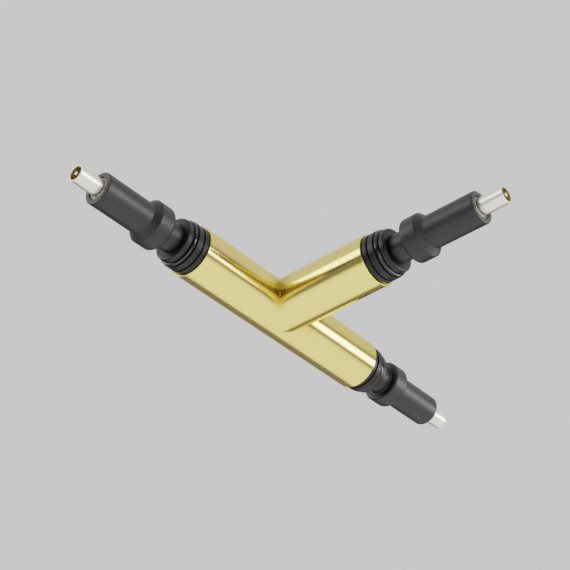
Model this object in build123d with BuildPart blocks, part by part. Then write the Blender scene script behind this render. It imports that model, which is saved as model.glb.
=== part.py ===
"""Three-way tube connector: a brass T of equal tubes with a coaxial plug insert in each arm.

The run of the T lies along X and the branch points along +Y. All three arms carry the same
insert, so each insert piece is made once per arm by a loop over the arms. The origin is at the
bottom centre of the whole connector, which lies flat with its tubes on the XY plane.

Every insert outline is a list of (radius, station) points. A station is the distance from the
end of the arm's brass tube, positive outwards and negative inside the tube.
"""

import os

from build123d import *

# ---------------------------------------------------------------- driving sizes, in millimetres
# Brass tubes
tube_od = 20.0
tube_wall = 1.0
arm_length = 46.8  # from the crossing of the axes to the end of each tube
wire_hole_d = 12.0  # passage from the branch into the run
tube_end_break = 0.15  # broken outer edge of each tube end

# End plug: the turned plastic insert that closes each tube
# The rings slide inside a lamp tube of the same outside diameter as the brass tubes.
spigot_length = 12.0
lamp_tube_wall = 0.65
ring_slide_gap = 0.05
inner_ring_width = 2.0
ring_groove_width = 0.7
ring_groove_depth = 0.6
outer_ring_width = 2.3
ring_break = 0.2
flange_step = 0.9  # the flange is this much smaller in radius than the rings
flange_width = 2.4
flange_back_round = 0.3
flange_front_round = 0.8

# O-ring between the outer ring and the flange
o_ring_step = 0.15  # it stands this far below the rings
o_ring_section = 1.5
o_ring_side_gap = 0.15

# Plug body: neck, collar, cone and sleeve in one moulding
stem_shoulder = 0.5  # the stem in the end plug is this much smaller in radius than the neck
neck_od = 11.0
neck_length = 6.3
collar_od = 16.8
collar_length = 6.4
collar_back_round = 1.2
collar_front_round = 0.5
cone_length = 2.3
sleeve_od = 12.4
sleeve_length = 20.9
sleeve_end_round = 0.6
recess_margin = 0.2  # around the barrel's seat flange
recess_depth = 0.5

# Coaxial contact: barrel, insulator and pin
barrel_od = 6.5
barrel_wall = 0.6
barrel_lip_round = 0.12
barrel_protrusion = 10.1  # beyond the end of the sleeve
barrel_anchor = 9.1  # length held inside the sleeve
barrel_floor_thickness = 2.0  # rear end of the barrel
anchor_flange_step = 1.0  # beyond the wire bore that it closes
anchor_flange_thickness = 1.6
seat_flange_step = 0.95  # beyond the barrel
seat_flange_thickness = 1.6
insulator_plug_length = 6.0
insulator_neck_wall = 0.53
insulator_neck_length = 1.6  # stands behind the barrel
pin_d = 1.4
pin_tip_round = 0.35
pin_tail_overlap = 2.0  # thick tail inside the insulator plug
solder_cup_wall = 0.35
solder_cup_depth = 2.0
solder_cup_length = 3.0  # behind the insulator

# Leads and splices inside the tubes
lead_d = 1.4
lead_bend_radius = 5.0
lead_gap = 0.1
splice_length = 9.0
splice_margin = 0.05
shrink_wall = 0.3
shrink_overhang = 2.0

# Fits between pieces
spigot_gap = 0.05
stem_gap = 0.05
contact_gap = 0.02

# ---------------------------------------------------------------- stations worked out from them
tube_r = tube_od / 2
bore_r = tube_r - tube_wall
spigot_r = bore_r - spigot_gap
ring_r = tube_r - lamp_tube_wall - ring_slide_gap
groove_r = ring_r - ring_groove_depth
flange_r = ring_r - flange_step
o_ring_r = ring_r - o_ring_step
seat_r = o_ring_r - o_ring_section
neck_r = neck_od / 2
stem_r = neck_r - stem_shoulder
stem_bore_r = stem_r + stem_gap
collar_r = collar_od / 2
sleeve_r = sleeve_od / 2
barrel_r = barrel_od / 2
barrel_bore_r = barrel_r - barrel_wall
seat_flange_r = barrel_r + seat_flange_step
recess_r = seat_flange_r + recess_margin
pin_r = pin_d / 2
lead_r = lead_d / 2
solder_cup_r = lead_r + lead_gap
pin_tail_r = solder_cup_r + solder_cup_wall
insulator_neck_r = pin_tail_r + contact_gap + insulator_neck_wall

groove_start = inner_ring_width
groove_end = groove_start + ring_groove_width
seat_start = groove_end + outer_ring_width
seat_width = o_ring_section + 2 * o_ring_side_gap
flange_start = seat_start + seat_width
flange_end = flange_start + flange_width
collar_start = flange_end + neck_length
cone_start = collar_start + collar_length
sleeve_start = cone_start + cone_length
sleeve_end = sleeve_start + sleeve_length
barrel_tip = sleeve_end + barrel_protrusion
recess_floor = sleeve_end - recess_depth
seat_flange_back = recess_floor - seat_flange_thickness
barrel_back = sleeve_end - barrel_anchor
anchor_flange_front = barrel_back + anchor_flange_thickness
barrel_floor = barrel_back + barrel_floor_thickness
pin_shoulder = barrel_floor + pin_tail_overlap
insulator_front = barrel_floor + insulator_plug_length
insulator_back = barrel_back - insulator_neck_length
cup_back = insulator_back - solder_cup_length
cup_floor = cup_back + solder_cup_depth

# The positive leads run on the arms' axes. The negative ones run below them, far enough down to
# pass the positive splice in its shrink sleeve and the insulator's neck.
lead_pitch = lead_d + lead_gap
splice_r = lead_pitch / 2 + lead_r + splice_margin
shrink_r = splice_r + contact_gap + shrink_wall
splice_start = lead_bend_radius + shrink_overhang
negative_drop = max(shrink_r, insulator_neck_r) + lead_gap + lead_r
wire_bore_r = negative_drop + lead_r + lead_gap
anchor_flange_r = max(wire_bore_r, barrel_r) + anchor_flange_step

# The crossing of the axes, with the connector lying flat and centred over the origin
reach = arm_length + barrel_tip
crossing = Vector(0, -(reach - tube_r) / 2, tube_r)

arms = {
    "left": Vector(-1, 0, 0),
    "right": Vector(1, 0, 0),
    "branch": Vector(0, 1, 0),
}
run_direction = arms["right"]
branch_direction = arms["branch"]
up = Vector(0, 0, 1)


# ---------------------------------------------------------------- helpers
def arm_axis(direction):
    """The centre line of an arm, from the crossing outwards."""
    return Axis(crossing, direction)


def arm_section(direction):
    """A plane through an arm's axis: X is the radius, Y is the station."""
    tube_end = crossing + direction * arm_length
    return Plane(origin=tube_end, x_dir=up, z_dir=up.cross(direction))


def outline(plane, points, rounds=None):
    """A closed face from outline points, with the corners listed in rounds rounded off."""
    rounds = rounds or {}
    radii = [rounds.get(index, 0) for index in range(len(points))]
    with BuildSketch(plane) as face:
        with BuildLine():
            FilletPolyline(*points, radius=radii, close=True)
        make_face()
    return face.sketch


def lead(points, radii):
    """A round lead along straight runs joined by tangent arcs."""
    with BuildLine() as route:
        if radii:
            FilletPolyline(*points, radius=radii)
        else:
            Line(*points)
    start = Plane(origin=route.line @ 0, z_dir=route.line % 0)
    with BuildSketch(start) as section:
        Circle(lead_r)
    return sweep(section.sketch, path=route.line)


def finish(builder, name):
    """Label a finished piece and write its file."""
    builder.part.label = name
    export_step(builder.part, f"parts/{name}.step")


os.makedirs("parts", exist_ok=True)

# ---------------------------------------------------------------- brass tubes
run_start = Plane(origin=crossing - run_direction * arm_length, z_dir=run_direction)
branch_start = Plane(origin=crossing, z_dir=branch_direction)

with BuildPart() as main_tube:
    with BuildSketch(run_start):
        Circle(tube_r)
    extrude(amount=2 * arm_length)
    with BuildSketch(run_start):
        Circle(bore_r)
    extrude(amount=2 * arm_length, mode=Mode.SUBTRACT)
    end_edges = main_tube.edges().filter_by(GeomType.CIRCLE).sort_by(SortBy.RADIUS)[-2:]
    chamfer(end_edges, length=tube_end_break)
    with BuildSketch(branch_start):
        Circle(wire_hole_d / 2)
    extrude(amount=tube_od, mode=Mode.SUBTRACT)
finish(main_tube, "main_tube")

with BuildPart() as branch_tube:
    with BuildSketch(branch_start):
        Circle(tube_r)
    extrude(amount=arm_length)
    with BuildSketch(branch_start):
        Circle(bore_r)
    extrude(amount=arm_length, mode=Mode.SUBTRACT)
    end_edge = branch_tube.edges().sort_by(Axis.Y)[-2:].sort_by(SortBy.RADIUS)[-1]
    chamfer(end_edge, length=tube_end_break)
    # The saddle cut: the branch sits on the outside of the run.
    with BuildSketch(run_start):
        Circle(tube_r)
    extrude(amount=2 * arm_length, mode=Mode.SUBTRACT)
finish(branch_tube, "branch_tube")

# ---------------------------------------------------------------- inserts, one set per arm
for arm, direction in arms.items():
    axis = arm_axis(direction)
    section = arm_section(direction)

    # End plug: spigot in the tube, two rings, O-ring seat and flange around a bore for the stem
    end_plug_points = [
        (stem_bore_r, -spigot_length),
        (spigot_r, -spigot_length),
        (spigot_r, 0),
        (ring_r, 0),
        (ring_r, groove_start),
        (groove_r, groove_start),
        (groove_r, groove_end),
        (ring_r, groove_end),
        (ring_r, seat_start),
        (seat_r, seat_start),
        (seat_r, flange_start),
        (flange_r, flange_start),
        (flange_r, flange_end),
        (stem_bore_r, flange_end),
    ]
    end_plug_rounds = {
        3: ring_break,
        4: ring_break,
        7: ring_break,
        8: ring_break,
        11: flange_back_round,
        12: flange_front_round,
    }
    with BuildPart() as end_plug:
        revolve(outline(section, end_plug_points, end_plug_rounds), axis=axis)
    finish(end_plug, f"{arm}_end_plug")

    # O-ring: it sits in its seat with a hair of clearance
    o_ring_wire_r = o_ring_section / 2
    o_ring_centre = (o_ring_r - o_ring_wire_r, (seat_start + flange_start) / 2)
    with BuildPart() as o_ring:
        with BuildSketch(section):
            with Locations(o_ring_centre):
                Circle(o_ring_wire_r - contact_gap)
        revolve(axis=axis)
    finish(o_ring, f"{arm}_o_ring")

    # Plug body: stem, neck, collar, cone and sleeve, moulded around the contact barrel
    plug_body_points = [
        (wire_bore_r, -spigot_length),
        (stem_r, -spigot_length),
        (stem_r, flange_end),
        (neck_r, flange_end),
        (neck_r, collar_start),
        (collar_r, collar_start),
        (collar_r, cone_start),
        (sleeve_r, sleeve_start),
        (sleeve_r, sleeve_end),
        (recess_r, sleeve_end),
        (recess_r, recess_floor),
        (seat_flange_r + contact_gap, recess_floor),
        (seat_flange_r + contact_gap, seat_flange_back),
        (barrel_r + contact_gap, seat_flange_back),
        (barrel_r + contact_gap, anchor_flange_front),
        (anchor_flange_r + contact_gap, anchor_flange_front),
        (anchor_flange_r + contact_gap, barrel_back),
        (wire_bore_r, barrel_back),
    ]
    plug_body_rounds = {
        5: collar_back_round,
        6: collar_front_round,
        8: sleeve_end_round,
    }
    with BuildPart() as plug_body:
        revolve(outline(section, plug_body_points, plug_body_rounds), axis=axis)
    finish(plug_body, f"{arm}_plug_body")

    # Contact barrel: a deep-drawn tube with an anchor flange inside the moulding and a seat
    # flange that shows at the bottom of the recess
    barrel_points = [
        (insulator_neck_r + contact_gap, barrel_back),
        (anchor_flange_r, barrel_back),
        (anchor_flange_r, anchor_flange_front),
        (barrel_r, anchor_flange_front),
        (barrel_r, seat_flange_back),
        (seat_flange_r, seat_flange_back),
        (seat_flange_r, recess_floor),
        (barrel_r, recess_floor),
        (barrel_r, barrel_tip),
        (barrel_bore_r, barrel_tip),
        (barrel_bore_r, barrel_floor),
        (insulator_neck_r + contact_gap, barrel_floor),
    ]
    barrel_rounds = {8: barrel_lip_round, 9: barrel_lip_round}
    with BuildPart() as contact_barrel:
        revolve(outline(section, barrel_points, barrel_rounds), axis=axis)
    finish(contact_barrel, f"{arm}_contact_barrel")

    # Contact insulator: a plug in the barrel's bore with a neck through its rear wall
    pin_bore_r = pin_r + contact_gap
    tail_bore_r = pin_tail_r + contact_gap
    insulator_points = [
        (tail_bore_r, insulator_back),
        (insulator_neck_r, insulator_back),
        (insulator_neck_r, barrel_floor),
        (barrel_bore_r - contact_gap, barrel_floor),
        (barrel_bore_r - contact_gap, insulator_front),
        (pin_bore_r, insulator_front),
        (pin_bore_r, pin_shoulder),
        (tail_bore_r, pin_shoulder),
    ]
    with BuildPart() as contact_insulator:
        revolve(outline(section, insulator_points), axis=axis)
    finish(contact_insulator, f"{arm}_contact_insulator")

    # Contact pin: a round-nosed pin, flush with the barrel's mouth, with a solder cup behind
    pin_points = [
        (0, cup_floor),
        (solder_cup_r, cup_floor),
        (solder_cup_r, cup_back),
        (pin_tail_r, cup_back),
        (pin_tail_r, pin_shoulder),
        (pin_r, pin_shoulder),
        (pin_r, barrel_tip),
        (0, barrel_tip),
    ]
    pin_rounds = {6: pin_tip_round}
    with BuildPart() as contact_pin:
        revolve(outline(section, pin_points, pin_rounds), axis=axis)
    finish(contact_pin, f"{arm}_contact_pin")

# ---------------------------------------------------------------- splices in the run
# The positive splice lies in the left arm and the negative one in the right arm. Each takes one
# lead on the axis from either side, and the branch lead beside the one that faces the crossing.
polarities = {
    "positive": {"side": arms["left"], "drop": 0.0, "end_station": cup_floor},
    "negative": {"side": arms["right"], "drop": negative_drop, "end_station": barrel_back},
}
for polarity, place in polarities.items():
    side = place["side"]
    level = crossing - up * place["drop"]
    splice_axis_start = level + side * splice_start + branch_direction * (lead_pitch / 2)
    near_end = Plane(origin=splice_axis_start, z_dir=side)
    sleeve_near_end = Plane(origin=splice_axis_start - side * shrink_overhang, z_dir=side)
    shrink_length = splice_length + 2 * shrink_overhang

    with BuildPart() as splice:
        with BuildSketch(near_end):
            Circle(splice_r)
        extrude(amount=splice_length)
    finish(splice, f"{polarity}_splice")

    with BuildPart() as splice_sleeve:
        with BuildSketch(sleeve_near_end):
            Circle(shrink_r)
            Circle(splice_r + contact_gap, mode=Mode.SUBTRACT)
        extrude(amount=shrink_length)
    finish(splice_sleeve, f"{polarity}_splice_sleeve")

    # The lead of the arm that holds the splice, and the lead that comes across from the other
    lead_reach = arm_length + place["end_station"]
    own_arm = next(name for name, direction in arms.items() if direction == side)
    far_arm = next(name for name, direction in arms.items() if direction == side * -1)
    own_ends = (level + side * lead_reach, level + side * (splice_start + splice_length))
    far_ends = (level - side * lead_reach, level + side * splice_start)
    for arm, ends in ((own_arm, own_ends), (far_arm, far_ends)):
        with BuildPart() as straight_lead:
            add(lead(ends, None))
        finish(straight_lead, f"{arm}_{polarity}_lead")

    # The branch lead comes down the branch and turns into the splice
    corner = level + branch_direction * lead_pitch
    branch_points = (
        level + branch_direction * lead_reach,
        corner,
        corner + side * splice_start,
    )
    with BuildPart() as branch_lead:
        add(lead(branch_points, [lead_bend_radius]))
    finish(branch_lead, f"branch_{polarity}_lead")
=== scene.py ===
"""Looks of the three-way tube connector: a brushed brass T with a dark coaxial plug in each arm.

Every piece that shows is modelled here in mesh code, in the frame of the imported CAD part. The
wiring inside keeps its CAD meshes. Sizes are in millimetres until a mesh is made, and then in
metres.
"""

import math

import bmesh
import bpy
import numpy as np
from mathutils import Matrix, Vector


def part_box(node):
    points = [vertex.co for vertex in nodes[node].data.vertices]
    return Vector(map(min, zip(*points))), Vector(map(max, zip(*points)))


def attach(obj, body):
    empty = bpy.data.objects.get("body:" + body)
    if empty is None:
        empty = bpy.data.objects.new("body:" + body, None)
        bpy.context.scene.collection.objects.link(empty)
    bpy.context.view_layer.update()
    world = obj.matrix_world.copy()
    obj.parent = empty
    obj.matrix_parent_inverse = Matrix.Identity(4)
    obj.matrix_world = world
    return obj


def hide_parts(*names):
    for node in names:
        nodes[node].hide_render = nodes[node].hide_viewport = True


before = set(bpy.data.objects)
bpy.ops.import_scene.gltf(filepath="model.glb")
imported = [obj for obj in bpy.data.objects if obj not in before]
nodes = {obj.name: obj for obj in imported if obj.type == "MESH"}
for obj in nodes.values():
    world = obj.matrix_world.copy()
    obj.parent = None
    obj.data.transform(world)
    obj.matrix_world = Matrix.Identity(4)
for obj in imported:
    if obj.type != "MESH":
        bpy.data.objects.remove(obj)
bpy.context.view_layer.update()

MM = 0.001
scene = bpy.context.scene

# ------------------------------------------------------------------ places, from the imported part
run_low, run_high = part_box("main_tube")
crossing = (run_low + run_high) / 2
tube_r = (run_high.z - run_low.z) / 2 / MM
arm_length = (run_high.x - run_low.x) / 2 / MM
ARMS = {
    "left": Vector((-1, 0, 0)),
    "right": Vector((1, 0, 0)),
    "branch": Vector((0, 1, 0)),
}
UP = Vector((0, 0, 1))


def reach(node, side=1):
    """Furthest (1) or nearest (-1) station of a node along +X, in mm from the tube's end."""
    low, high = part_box(node)
    along = high.x if side > 0 else low.x
    return (along - run_high.x) / MM


def radius(node):
    """Outer radius of a node that is turned about the run's axis, in mm."""
    low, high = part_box(node)
    return (high.z - low.z) / 2 / MM


# Stations, in mm outwards from the end of the arm's brass tube
plug_back = reach("right_end_plug", -1)
flange_end = reach("right_end_plug")
sleeve_end = reach("right_plug_body")
barrel_tip = reach("right_contact_barrel")
barrel_back = reach("right_contact_barrel", -1)
insulator_back = reach("right_contact_insulator", -1)
insulator_front = reach("right_contact_insulator")
cup_back = reach("right_contact_pin", -1)
o_ring_low, o_ring_high = reach("right_o_ring", -1), reach("right_o_ring")

# Radii
spigot_clearance = 0.05
spigot_r = radius("right_end_plug")
bore_r = spigot_r + spigot_clearance
barrel_r, barrel_bore_r = 3.25, 2.65


# ------------------------------------------------------------------ mesh helpers
big_round, big_round_step, small_round_step = 0.4, 9, 16
long_stretch, support_offset = 0.12, 0.05
most_of_a_side = 0.45


def between_directions(first, last, turn, share):
    """The direction part of the way round an arc from the first to the last."""
    near, far = math.sin(turn * (1 - share)), math.sin(turn * share)
    return (first * near + last * far) / math.sin(turn)


def rounded(points, rounds, edge=0.05):
    """The closed outline with an arc at each corner, and a support point beside each arc.

    An arc is drawn in steps of 9 degrees at most where the round is big, and 16 where it is small.
    """
    count = len(points)
    pts = [np.array(p, float) for p in points]
    corners = []
    for i, here in enumerate(pts):
        back, ahead = pts[i - 1] - here, pts[(i + 1) % count] - here
        len_back, len_ahead = np.linalg.norm(back), np.linalg.norm(ahead)
        back, ahead = back / len_back, ahead / len_ahead
        between = math.acos(max(-1.0, min(1.0, float(back @ ahead))))
        size = rounds.get(i, edge)
        turn = math.pi - between
        if turn < 0.01 or size <= 0 or here[0] < 1e-6:
            corners.append([here])
            continue
        cut = min(size / math.tan(between / 2), most_of_a_side * min(len_back, len_ahead))
        size = cut * math.tan(between / 2)
        inward = (back + ahead) / np.linalg.norm(back + ahead)
        middle = here + inward * (size / math.sin(between / 2))
        first, last = here + back * cut - middle, here + ahead * cut - middle
        arc_step = big_round_step if size > big_round else small_round_step
        steps = max(4, math.ceil(turn / math.radians(arc_step)))
        corners.append(
            [middle + between_directions(first, last, turn, k / steps) for k in range(steps + 1)]
        )
    line = []
    for i, arc in enumerate(corners):
        line.extend(arc)
        start, stop = arc[-1], corners[(i + 1) % count][0]
        gap = np.linalg.norm(stop - start)
        if gap > long_stretch and not (start[0] < 1e-6 and stop[0] < 1e-6):
            step = (stop - start) / gap * min(support_offset, gap / 4)
            line.extend([start + step, stop - step])
    return line


def across(direction):
    """Two directions square to an arm's axis: straight up, and to the side."""
    return UP, UP.cross(direction)


merge_distance, shortest_edge, sharp_angle = 1e-7, 1e-8, 28


def new_object(name, verts, faces):
    """A smooth-shaded object from points in metres, with its normals facing out."""
    mesh = bpy.data.meshes.new(name)
    mesh.from_pydata([tuple(v) for v in verts], [], faces)
    build = bmesh.new()
    build.from_mesh(mesh)
    bmesh.ops.remove_doubles(build, verts=build.verts, dist=merge_distance)
    bmesh.ops.dissolve_degenerate(build, edges=build.edges, dist=shortest_edge)
    bmesh.ops.recalc_face_normals(build, faces=build.faces)
    build.to_mesh(mesh)
    build.free()
    mesh.shade_smooth()
    mesh.set_sharp_from_angle(angle=math.radians(sharp_angle))
    obj = bpy.data.objects.new(name, mesh)
    scene.collection.objects.link(obj)
    return obj


def turned(name, outline, direction, segments, start=None):
    """A turned piece: the outline of (radius, station) points swept about the arm's axis."""
    start = crossing + direction * arm_length * MM if start is None else start
    side_a, side_b = across(direction)
    angles = np.arange(segments) * 2 * math.pi / segments
    ring = np.outer(np.cos(angles), np.array(side_a)) + np.outer(
        np.sin(angles), np.array(side_b)
    )
    verts = []
    for r, station in outline:
        verts.extend(
            (np.array(start) + np.array(direction) * station * MM + ring * r * MM).tolist()
        )
    rows = len(outline)
    faces = []
    for i in range(rows):
        low, high = i * segments, ((i + 1) % rows) * segments
        if outline[i][0] < 1e-6 and outline[(i + 1) % rows][0] < 1e-6:
            continue
        for j in range(segments):
            k = (j + 1) % segments
            faces.append((low + j, low + k, high + k, high + j))
    return new_object(name, verts, faces)


def grid(name, columns, closed=True):
    """A skin over columns of points, each a closed outline: a ring of them, or a capped strip."""
    count, rows = len(columns), len(columns[0])
    verts = [tuple(p) for column in columns for p in column]
    faces = []
    for i in range(count if closed else count - 1):
        a, b = i * rows, ((i + 1) % count) * rows
        for j in range(rows):
            k = (j + 1) % rows
            faces.append((a + j, a + k, b + k, b + j))
    if not closed:
        faces.append(tuple(range(rows)))
        faces.append(tuple((count - 1) * rows + j for j in reversed(range(rows))))
    return new_object(name, verts, faces)


# ------------------------------------------------------------------ materials
class Shader:
    """A node material made step by step around one Principled BSDF."""

    def __init__(self, name, world=False):
        if world:
            self.data = bpy.data.worlds.new(name)
            scene.world = self.data
        else:
            self.data = bpy.data.materials.new(name)
        self.data.use_nodes = True
        self.tree = self.data.node_tree
        if world:
            self.tree.nodes.clear()
        else:
            self.surface = self.tree.nodes["Principled BSDF"]

    def node(self, kind, links=None, **settings):
        made = self.tree.nodes.new(kind)
        for key, value in settings.items():
            setattr(made, key, value)
        for socket, value in (links or {}).items():
            target = made.inputs[socket]
            if isinstance(value, bpy.types.NodeSocket):
                self.tree.links.new(value, target)
            else:
                target.default_value = value
        return made

    def math(self, operation, *values, clamp=False):
        links = dict(enumerate(values))
        return self.node("ShaderNodeMath", links, operation=operation, use_clamp=clamp).outputs[0]

    def vector(self, operation, *values, out=0):
        links = dict(enumerate(values))
        return self.node("ShaderNodeVectorMath", links, operation=operation).outputs[out]

    def place(self):
        return self.node("ShaderNodeTexCoord").outputs["Object"]

    def distance(self, axes):
        """Distance from the crossing, counting only the axes that are 1."""
        offset = self.vector("SUBTRACT", self.place(), tuple(crossing))
        return self.vector("LENGTH", self.vector("MULTIPLY", offset, axes), out=1)

    def noise(self, scale, stretch=(1, 1, 1), detail=2.0, rough=0.5):
        moved = self.node(
            "ShaderNodeMapping", {"Vector": self.place(), "Scale": stretch}
        ).outputs[0]
        return self.node(
            "ShaderNodeTexNoise",
            {"Vector": moved, "Scale": scale, "Detail": detail, "Roughness": rough},
        ).outputs[0]

    def ramp(self, value, low, high, out_low=0.0, out_high=1.0, smooth=False):
        return self.node(
            "ShaderNodeMapRange",
            {
                "Value": value,
                "From Min": low,
                "From Max": high,
                "To Min": out_low,
                "To Max": out_high,
            },
            interpolation_type="SMOOTHSTEP" if smooth else "LINEAR",
        ).outputs[0]

    def blend(self, share, first, second):
        made = self.node("ShaderNodeMix", data_type="RGBA")
        for socket, value in ((0, share), (6, first), (7, second)):
            if isinstance(value, bpy.types.NodeSocket):
                self.tree.links.new(value, made.inputs[socket])
            else:
                made.inputs[socket].default_value = value
        return made.outputs[2]

    def bump(self, height, strength, distance):
        return self.node(
            "ShaderNodeBump",
            {"Height": height, "Strength": strength, "Distance": distance},
        ).outputs[0]

    def set(self, **values):
        for key, value in values.items():
            socket = self.surface.inputs[key.replace("_", " ")]
            if isinstance(value, bpy.types.NodeSocket):
                self.tree.links.new(value, socket)
            else:
                socket.default_value = value


def colour(r, g, b):
    return (r, g, b, 1.0)


def stretch_along(axis, along, around):
    """Texture scale for marks that run round the axis: fine along it and long around it."""
    return tuple(along if k == axis else around for k in range(3))


# Painted shade in the corner between the tubes: how far it reaches from where they touch, and the
# heights where it is full and where it has faded
crease_shade_reach = 7.0
crease_shade_full, crease_shade_edge = 0.3 * tube_r, 0.9 * tube_r


def brass(name, axis):
    """Brushed brass, with painted shade: a dark brown blended in deep in the corner between the
    tubes.
    """
    mat = Shader(name)
    fine = mat.noise(1.0, stretch_along(axis, 5200, 190), detail=3, rough=0.6)
    rings = mat.noise(1.0, stretch_along(axis, 1500, 55), detail=2)
    cloud = mat.noise(55.0, detail=2)
    patches = mat.math(
        "ADD", mat.math("MULTIPLY", cloud, 0.6), mat.math("MULTIPLY", rings, 0.4)
    )
    tint = mat.ramp(patches, 0.35, 0.65)
    clean = mat.blend(tint, colour(0.97, 0.725, 0.205), colour(1.0, 0.775, 0.235))
    # Painted shade: close to the crossing and around the tubes' mid-height, the brass is blended to
    # a dark brown where the corner lies in shade
    both = mat.math("ADD", mat.distance((0.0, 1.0, 1.0)), mat.distance((1.0, 0.0, 1.0)))
    touching = 2 * tube_r
    near = mat.ramp(both, touching * MM, (touching + crease_shade_reach) * MM, 1.0, 0.0, True)
    lift = mat.distance((0.0, 0.0, 1.0))
    deep = mat.ramp(lift, crease_shade_full * MM, crease_shade_edge * MM, 1.0, 0.0, True)
    mat.set(
        Base_Color=mat.blend(mat.math("MULTIPLY", near, deep), clean, colour(0.62, 0.43, 0.10)),
        Metallic=1.0,
        Roughness=mat.ramp(fine, 0.3, 0.7, 0.138, 0.162),
        Specular_Tint=colour(1.0, 0.94, 0.76),
        Normal=mat.bump(fine, 0.004, 0.0001),
    )
    return mat.data


# Painted highlight on the cut end of the moulded sleeve: it starts this far back from the end, in
# mm, and is full this far back
end_highlight_start, end_highlight_full = 0.2, 0.05


def plastic(name, axis, dark, light, rough, gloss, turned_marks=False):
    """Dark plastic: turned, with marks round the axis, or moulded, with a painted highlight that
    makes the cut end look lighter.
    """
    mat = Shader(name)
    grain = mat.noise(5200.0, detail=3, rough=0.65)
    cloud = mat.noise(160.0, detail=3)
    tint = mat.blend(mat.ramp(cloud, 0.35, 0.65), dark, light)
    height = grain
    if turned_marks:
        marks = mat.noise(1.0, stretch_along(axis, 7000, 120), detail=2)
        height = mat.math("ADD", mat.math("MULTIPLY", grain, 0.4), marks)
    else:
        # Painted highlight: the last fraction of a millimetre of the sleeve, with its end face, is
        # blended to a lighter grey, as if the cut end catches the light
        cut = arm_length + sleeve_end
        along = mat.distance(tuple(float(k == axis) for k in range(3)))
        highlight_start_at, highlight_full_at = (cut - end_highlight_start) * MM, (cut - end_highlight_full) * MM
        painted_end_highlight = mat.ramp(along, highlight_start_at, highlight_full_at, 0.0, 1.0, True)
        tint = mat.blend(painted_end_highlight, tint, colour(0.042, 0.040, 0.043))
    mat.set(
        Base_Color=tint,
        Roughness=mat.ramp(grain, 0.3, 0.7, rough - 0.04, rough + 0.05),
        Specular_IOR_Level=gloss,
        Normal=mat.bump(height, 0.10, 0.0001),
    )
    return mat.data


def rubber(name):
    """Smooth black rubber."""
    mat = Shader(name)
    grain = mat.noise(3200.0, detail=3)
    cloud = mat.noise(300.0, detail=2)
    mat.set(
        Base_Color=mat.blend(cloud, colour(0.006, 0.006, 0.007), colour(0.013, 0.013, 0.014)),
        Roughness=mat.ramp(grain, 0.3, 0.7, 0.10, 0.16),
        Normal=mat.bump(grain, 0.03, 0.0001),
    )
    return mat.data


def plating(name, axis, low, high, bore_r=None):
    """Bright plating. Given a bore, that is bare warmer metal, and the flange down in the recess
    gets painted shade, a dark olive.
    """
    mat = Shader(name)
    drawn = mat.noise(1.0, stretch_along(axis, 120, 4200), detail=2)
    cloud = mat.noise(260.0, detail=2)
    tint = mat.blend(mat.ramp(cloud, 0.35, 0.65), low, high)
    if bore_r is not None:
        radial = mat.distance(tuple(float(k != axis) for k in range(3)))
        inside = mat.ramp(radial, (bore_r + 0.05) * MM, (bore_r + 0.12) * MM, 1.0, 0.0, True)
        # Painted shade: the flange down in the recess is blended to a dark olive, as if shade falls
        # there
        seat = mat.ramp(radial, (barrel_r + 0.04) * MM, (barrel_r + 0.12) * MM, 0.0, 1.0, True)
        tint = mat.blend(inside, tint, colour(0.95, 0.82, 0.48))
        tint = mat.blend(seat, tint, colour(0.22, 0.20, 0.14))
    mat.set(
        Base_Color=tint,
        Metallic=1.0,
        Roughness=mat.ramp(drawn, 0.3, 0.7, 0.36, 0.40),
        Normal=mat.bump(drawn, 0.012, 0.0001),
    )
    return mat.data


def coated(name, low, high, rough, metallic=0.0, scale=400.0):
    """Plain coated or moulded stuff of the pieces inside the tubes."""
    mat = Shader(name)
    cloud = mat.noise(scale, detail=3)
    grain = mat.noise(scale * 9, detail=2)
    mat.set(
        Base_Color=mat.blend(mat.ramp(cloud, 0.35, 0.65), low, high),
        Metallic=metallic,
        Roughness=mat.ramp(grain, 0.3, 0.7, rough - 0.05, rough + 0.05),
        Normal=mat.bump(grain, 0.08, 0.0001),
    )
    return mat.data


X_AXIS, Y_AXIS = 0, 1
brass_mat, turned_mat, mould_mat, barrel_mat, pin_mat = {}, {}, {}, {}, {}
for tube, axis in (("run", X_AXIS), ("branch", Y_AXIS)):
    brass_mat[tube] = brass(f"brushed_brass_{tube}", axis)
    turned_mat[tube] = plastic(
        f"turned_plastic_{tube}",
        axis,
        colour(0.0022, 0.0024, 0.003),
        colour(0.0032, 0.0034, 0.0042),
        rough=0.42,
        gloss=0.36,
        turned_marks=True,
    )
    mould_mat[tube] = plastic(
        f"moulded_plastic_{tube}",
        axis,
        colour(0.005, 0.005, 0.0053),
        colour(0.008, 0.008, 0.0084),
        rough=0.46,
        gloss=0.5,
    )
    barrel_mat[tube] = plating(
        f"bright_plating_{tube}",
        axis,
        colour(0.99, 0.96, 0.81),
        colour(1.0, 0.985, 0.86),
        barrel_bore_r,
    )
    pin_mat[tube] = plating(
        f"pin_plating_{tube}", axis, colour(0.99, 0.88, 0.64), colour(1.0, 0.92, 0.72)
    )
rubber_mat = rubber("o_ring_rubber_black")
insulator_mat = coated(
    "insulator_moulding", colour(0.05, 0.024, 0.010), colour(0.08, 0.038, 0.016), 0.4
)


def dress(obj, material, slot, *replaced):
    """Gives a piece its material and its body, and hides the CAD nodes that it stands for. The slot
    argument is not used.
    """
    obj.data.materials.clear()
    obj.data.materials.append(material)
    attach(obj, "root")
    if replaced:
        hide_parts(*replaced)
    return obj


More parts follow.
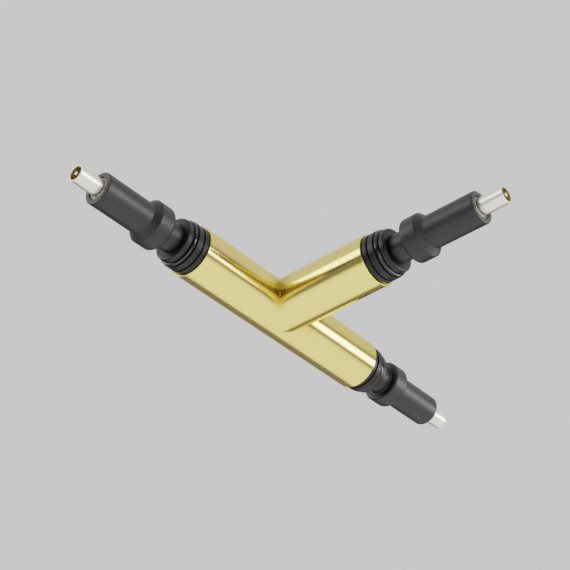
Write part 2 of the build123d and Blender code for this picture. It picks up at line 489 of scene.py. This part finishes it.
# ------------------------------------------------------------------ brass tubes
end_break, bore_break = 0.15, 0.06
wire_hole_r, wire_hole_depth, hole_margin = 6.0, 14, 0.8
hole_low, hole_high = -wire_hole_r - hole_margin, wire_hole_r + hole_margin
run_segments, cutter_segments, branch_segments = 256, 96, 360
run_points = [
    (bore_r, -arm_length),
    (tube_r, -arm_length),
    (tube_r, hole_low),
    (tube_r, hole_high),
    (tube_r, arm_length),
    (bore_r, arm_length),
    (bore_r, hole_high),
    (bore_r, hole_low),
]
run_rounds = {1: end_break, 4: end_break, 0: bore_break, 5: bore_break}
run_tube = turned(
    "run_tube_brushed",
    rounded(run_points, run_rounds),
    ARMS["right"],
    run_segments,
    start=crossing,
)
cutter = turned(
    "hole_cutter",
    [(0, 0), (wire_hole_r, 0), (wire_hole_r, wire_hole_depth), (0, wire_hole_depth)],
    ARMS["branch"],
    cutter_segments,
    start=crossing,
)
cut = run_tube.modifiers.new("wire hole", "BOOLEAN")
cut.object, cut.operation, cut.solver = cutter, "DIFFERENCE", "EXACT"
bpy.context.view_layer.update()
drilled = bpy.data.meshes.new_from_object(
    run_tube.evaluated_get(bpy.context.evaluated_depsgraph_get())
)
run_tube.modifiers.clear()
run_tube.data = drilled
run_tube.data.name = "run_tube_brushed"
bpy.data.objects.remove(cutter)
dress(run_tube, brass_mat["run"], "brushed_brass", "main_tube")

# The branch's rounded end takes the last stretch, and its plain wall stops just short of that
end_stretch, plain_stop = arm_length - 1.0, arm_length - 1.2


def branch_column(angle):
    """One outline of the branch tube's wall, at an angle round its axis, cut to the run."""
    sine = math.sin(angle)
    outer_foot = math.sqrt(max(tube_r**2 - (tube_r * sine) ** 2, 0))
    inner_foot = math.sqrt(tube_r**2 - (bore_r * sine) ** 2)
    wall = rounded(
        [(bore_r, 0), (tube_r, 0), (tube_r, arm_length), (bore_r, arm_length)],
        {0: 0, 1: 0, 2: end_break, 3: bore_break},
    )
    end = [(r, s) for r, s in wall if s > end_stretch]
    outer = [
        (tube_r, outer_foot + (plain_stop - outer_foot) * share)
        for share in (0, 0.02, 0.06, 0.12, 0.25, 0.5, 1)
    ]
    inner = [(bore_r, inner_foot + (plain_stop - inner_foot) * share) for share in (1, 0.5, 0.1, 0)]
    radial = Vector((math.cos(angle), 0, sine))
    return [crossing + (radial * r + ARMS["branch"] * s) * MM for r, s in outer + end + inner]


branch_tube = grid(
    "branch_tube_brushed",
    [branch_column(2 * math.pi * k / branch_segments) for k in range(branch_segments)],
)
dress(branch_tube, brass_mat["branch"], "brushed_brass", "branch_tube")

braze_r, braze_reach, braze_steps, braze_arc_steps = 0.12, 89, 180, 6
braze_root = 0.997


def braze_column(side, lift):
    """One section of the braze between the tubes, at an angle of lift above the crossing."""
    high = (tube_r + braze_r) * math.sin(lift)
    out = math.sqrt((tube_r + braze_r) ** 2 - high**2)
    middle = Vector((side * out, out, high))
    run_normal = Vector((0, out, high)).normalized()
    branch_normal = Vector((side * out, 0, high)).normalized()
    turn = run_normal.angle(branch_normal)
    column = []
    for k in range(braze_arc_steps + 1):
        normal = run_normal
        if turn > 1e-4:
            normal = between_directions(run_normal, branch_normal, turn, k / braze_arc_steps)
        column.append(crossing + (middle - normal * braze_r) * MM)
    foot_high = tube_r * math.sin(lift)
    foot = math.sqrt(tube_r**2 - foot_high**2)
    column.append(crossing + Vector((side * foot, foot, foot_high)) * braze_root * MM)
    return column


# The brazed joint: a fine concave fillet that fades out where the two tubes become tangent
for side_name, side in (("left", -1), ("right", 1)):
    lifts = [-braze_reach + 2 * braze_reach * i / braze_steps for i in range(braze_steps + 1)]
    sections = [braze_column(side, math.radians(lift)) for lift in lifts]
    braze = grid(f"{side_name}_braze_fillet", sections, closed=False)
    dress(braze, brass_mat["branch"], "brushed_brass")

# ------------------------------------------------------------------ inserts, one set per arm
neck_length, collar_length, cone_length = 6.3, 6.4, 2.3
recess_depth, seat_flange_width, anchor_width = 0.5, 1.6, 1.6
ring_r, groove_r, flange_r = 9.3, 8.7, 8.4
inner_ring_end, groove_end, seat_start = 2.0, 2.7, 5.0
seat_r, flange_start = 7.65, 6.8
stem_r, stem_bore_r = 5.0, 5.05
neck_r, collar_start = 5.5, flange_end + neck_length
collar_r, cone_start = 8.4, collar_start + collar_length
sleeve_r, sleeve_start = 6.2, cone_start + cone_length
recess_r, recess_floor = 4.4, sleeve_end - recess_depth
seat_flange_r, seat_flange_back = 4.2, recess_floor - seat_flange_width
anchor_r, anchor_front = radius("right_contact_barrel"), barrel_back + anchor_width
wire_bore_r = anchor_r - 1.0
barrel_floor = barrel_back + 2.0
gap = 0.02
insulator_neck_r = 1.7
pin_r, pin_tail_r = 0.7, 1.15
cup_r, cup_floor = 0.8, cup_back + 2.0
pin_shoulder = barrel_floor + 2.0
o_ring_r = radius("right_o_ring")
o_ring_wire_r = (o_ring_high - o_ring_low) / 2
o_ring_mid = (o_ring_high + o_ring_low) / 2
o_ring_points = 28

for arm, direction in ARMS.items():
    which = "branch" if arm == "branch" else "run"

    end_plug = turned(
        f"{arm}_end_plug_turned",
        rounded(
            [
                (stem_bore_r, plug_back),
                (spigot_r, plug_back),
                (spigot_r, 0),
                (ring_r, 0),
                (ring_r, inner_ring_end),
                (groove_r, inner_ring_end),
                (groove_r, groove_end),
                (ring_r, groove_end),
                (ring_r, seat_start),
                (seat_r, seat_start),
                (seat_r, flange_start),
                (flange_r, flange_start),
                (flange_r, flange_end),
                (stem_bore_r, flange_end),
            ],
            {2: 0, 3: 0.2, 4: 0.2, 7: 0.2, 8: 0.2, 11: 0.3, 12: 0.8, 13: 0.02},
        ),
        direction,
        192,
    )
    dress(end_plug, turned_mat[which], "dark_plastic", f"{arm}_end_plug")

    o_ring = turned(
        f"{arm}_o_ring_seal",
        [
            (
                o_ring_r - o_ring_wire_r + o_ring_wire_r * math.cos(2 * math.pi * k / o_ring_points),
                o_ring_mid + o_ring_wire_r * math.sin(2 * math.pi * k / o_ring_points),
            )
            for k in range(o_ring_points)
        ],
        direction,
        160,
    )
    dress(o_ring, rubber_mat, "o_ring_rubber", f"{arm}_o_ring")

    plug_body = turned(
        f"{arm}_plug_body_moulding",
        rounded(
            [
                (wire_bore_r, plug_back),
                (stem_r, plug_back),
                (stem_r, flange_end),
                (neck_r, flange_end),
                (neck_r, collar_start),
                (collar_r, collar_start),
                (collar_r, cone_start),
                (sleeve_r, sleeve_start),
                (sleeve_r, sleeve_end),
                (recess_r, sleeve_end),
                (recess_r, recess_floor),
                (seat_flange_r + gap, recess_floor),
                (seat_flange_r + gap, seat_flange_back),
                (barrel_r + gap, seat_flange_back),
                (barrel_r + gap, anchor_front),
                (anchor_r + gap, anchor_front),
                (anchor_r + gap, barrel_back),
                (wire_bore_r, barrel_back),
            ],
            {2: 0, 3: 0.1, 4: 0.3, 5: 1.2, 6: 0.5, 7: 0.1, 8: 0.6, 9: 0.12, 10: 0.1, 11: 0.01},
        ),
        direction,
        160,
    )
    dress(plug_body, mould_mat[which], "dark_plastic_moulding", f"{arm}_plug_body")

    barrel = turned(
        f"{arm}_barrel_plated",
        rounded(
            [
                (insulator_neck_r + gap, barrel_back),
                (anchor_r, barrel_back),
                (anchor_r, anchor_front),
                (barrel_r, anchor_front),
                (barrel_r, seat_flange_back),
                (seat_flange_r, seat_flange_back),
                (seat_flange_r, recess_floor),
                (barrel_r, recess_floor),
                (barrel_r, barrel_tip),
                (barrel_bore_r, barrel_tip),
                (barrel_bore_r, barrel_floor),
                (insulator_neck_r + gap, barrel_floor),
            ],
            {6: 0.2, 7: 0.25, 8: 0.12, 9: 0.12},
        ),
        direction,
        128,
    )
    dress(barrel, barrel_mat[which], "silver_plating", f"{arm}_contact_barrel")

    insulator = turned(
        f"{arm}_insulator_insert",
        rounded(
            [
                (pin_tail_r + gap, insulator_back),
                (insulator_neck_r, insulator_back),
                (insulator_neck_r, barrel_floor),
                (barrel_bore_r - gap, barrel_floor),
                (barrel_bore_r - gap, insulator_front),
                (pin_r + gap, insulator_front),
                (pin_r + gap, pin_shoulder),
                (pin_tail_r + gap, pin_shoulder),
            ],
            {4: 0.15},
        ),
        direction,
        96,
    )
    dress(insulator, insulator_mat, "insulator_plastic", f"{arm}_contact_insulator")

    pin = turned(
        f"{arm}_pin_plated",
        rounded(
            [
                (0, cup_floor),
                (cup_r, cup_floor),
                (cup_r, cup_back),
                (pin_tail_r, cup_back),
                (pin_tail_r, pin_shoulder),
                (pin_r, pin_shoulder),
                (pin_r, barrel_tip),
                (0, barrel_tip),
            ],
            {6: 0.35},
        ),
        direction,
        64,
    )
    dress(pin, pin_mat[which], "pin_plating", f"{arm}_contact_pin")

# ------------------------------------------------------------------ wiring inside, kept as CAD
positive = coated(
    "lead_insulation_red", colour(0.30, 0.012, 0.010), colour(0.42, 0.02, 0.016), 0.42
)
negative = coated(
    "lead_insulation_black", colour(0.012, 0.012, 0.012), colour(0.022, 0.022, 0.022), 0.42
)
splice = coated("tinned_splice", colour(0.60, 0.58, 0.54), colour(0.72, 0.70, 0.66), 0.3, 1.0)
shrink = coated(
    "shrink_sleeve_black", colour(0.014, 0.014, 0.015), colour(0.026, 0.026, 0.027), 0.55
)
hidden = {}
for arm in ARMS:
    hidden[f"{arm}_positive_lead"] = positive
    hidden[f"{arm}_negative_lead"] = negative
for polarity in ("positive", "negative"):
    hidden[f"{polarity}_splice"] = splice
    hidden[f"{polarity}_splice_sleeve"] = shrink
for name, material in hidden.items():
    nodes[name].data.materials.clear()
    nodes[name].data.materials.append(material)


# ------------------------------------------------------------------ camera
def towards(azimuth, elevation):
    """The direction at an azimuth from +X and an elevation above the horizon, in degrees."""
    flat = math.cos(math.radians(elevation))
    return Vector(
        (
            flat * math.cos(math.radians(azimuth)),
            flat * math.sin(math.radians(azimuth)),
            math.sin(math.radians(elevation)),
        )
    )


camera_data = bpy.data.cameras.new("camera")
camera_data.lens, camera_data.sensor_width = 97.0, 36.0
camera = bpy.data.objects.new("camera", camera_data)
scene.collection.objects.link(camera)
# The photo's viewing angle, to the nearest degree: it looks up at the open side of the T
view_azimuth, view_elevation, view_distance = 41, -36, 0.57
camera_aim = crossing + Vector((5, 8, 5)) * MM
camera.location = crossing + towards(view_azimuth, view_elevation) * view_distance
camera.rotation_euler = (camera_aim - camera.location).to_track_quat("-Z", "Y").to_euler()
camera_data.clip_start, camera_data.clip_end = 0.01, 50
scene.camera = camera
scene.view_settings.view_transform = "Filmic"
scene.view_settings.look = "None"

# ------------------------------------------------------------------ studio light
backdrop = 0.856
studio = Shader("studio", world=True)
look = studio.vector("NORMALIZE", studio.node("ShaderNodeTexCoord").outputs["Generated"])


def softbox(direction, half_width, half_height, edge, strength, upright=UP):
    """A rectangular panel in that direction, with a soft edge. All angles are in degrees."""
    centre = direction.normalized()
    level = centre.cross(upright).normalized()
    tall = level.cross(centre).normalized()
    facing = studio.vector("DOT_PRODUCT", look, tuple(centre), out=1)
    in_front = studio.math("GREATER_THAN", facing, 0.05)
    safe = studio.math("MAXIMUM", facing, 0.05)
    value = studio.math("MULTIPLY", in_front, strength)
    for axis, half in ((level, half_width), (tall, half_height)):
        across_panel = studio.vector("DOT_PRODUCT", look, tuple(axis), out=1)
        offset = studio.math("ABSOLUTE", studio.math("DIVIDE", across_panel, safe))
        inner = math.tan(math.radians(half - edge / 2))
        outer = math.tan(math.radians(half + edge / 2))
        value = studio.math("MULTIPLY", value, studio.ramp(offset, inner, outer, 1.0, 0.0, True))
    return value


room_light = 0.2
branch, left, right = ARMS["branch"], ARMS["left"], ARMS["right"]
lights = [
    softbox(branch * 2 + left, 45, 8, 10, 10),  # long level strip: the bright line on the tubes
    softbox(right - branch + UP / 2, 30, 10, 10, 4),  # shorter strip on the opposite side
    softbox(-UP, 60, 60, 20, 1.2, upright=branch),  # broad panel below
    softbox(UP, 60, 60, 20, 0.6, upright=branch),  # broad panel above
]
total = room_light
for light in lights:
    total = studio.math("ADD", light, total)
lit = studio.node("ShaderNodeBackground", {"Color": colour(1, 1, 1), "Strength": total})
plain = studio.node("ShaderNodeBackground", {"Color": colour(1, 1, 1), "Strength": backdrop})
seen = studio.node("ShaderNodeLightPath").outputs["Is Camera Ray"]
either = studio.node(
    "ShaderNodeMixShader", {0: seen, 1: lit.outputs[0], 2: plain.outputs[0]}
)
studio.node("ShaderNodeOutputWorld", {"Surface": either.outputs[0]})

# ------------------------------------------------------------------ floor
floor_drop, floor_half = 0.45, 8.0
floor_level = crossing.z - floor_drop
floor_mesh = bpy.data.meshes.new("floor")
floor_mesh.from_pydata(
    [
        (-floor_half, -floor_half, floor_level),
        (floor_half, -floor_half, floor_level),
        (floor_half, floor_half, floor_level),
        (-floor_half, floor_half, floor_level),
    ],
    [],
    [(0, 1, 2, 3)],
)
floor = bpy.data.objects.new("floor", floor_mesh)
scene.collection.objects.link(floor)
floor_look = Shader("pale_floor")
floor_reach = floor_look.vector("LENGTH", floor_look.place(), out=1)
floor_look.set(
    Base_Color=floor_look.blend(
        floor_look.noise(4.0), colour(0.87, 0.87, 0.87), colour(0.89, 0.89, 0.89)
    ),
    Roughness=0.8,
    Alpha=floor_look.ramp(floor_reach, 1.0, floor_half * 0.95, 1.0, 0.0, True),
)
floor_mesh.materials.append(floor_look.data)
floor.visible_glossy = False
floor.visible_diffuse = False
floor.visible_transmission = False
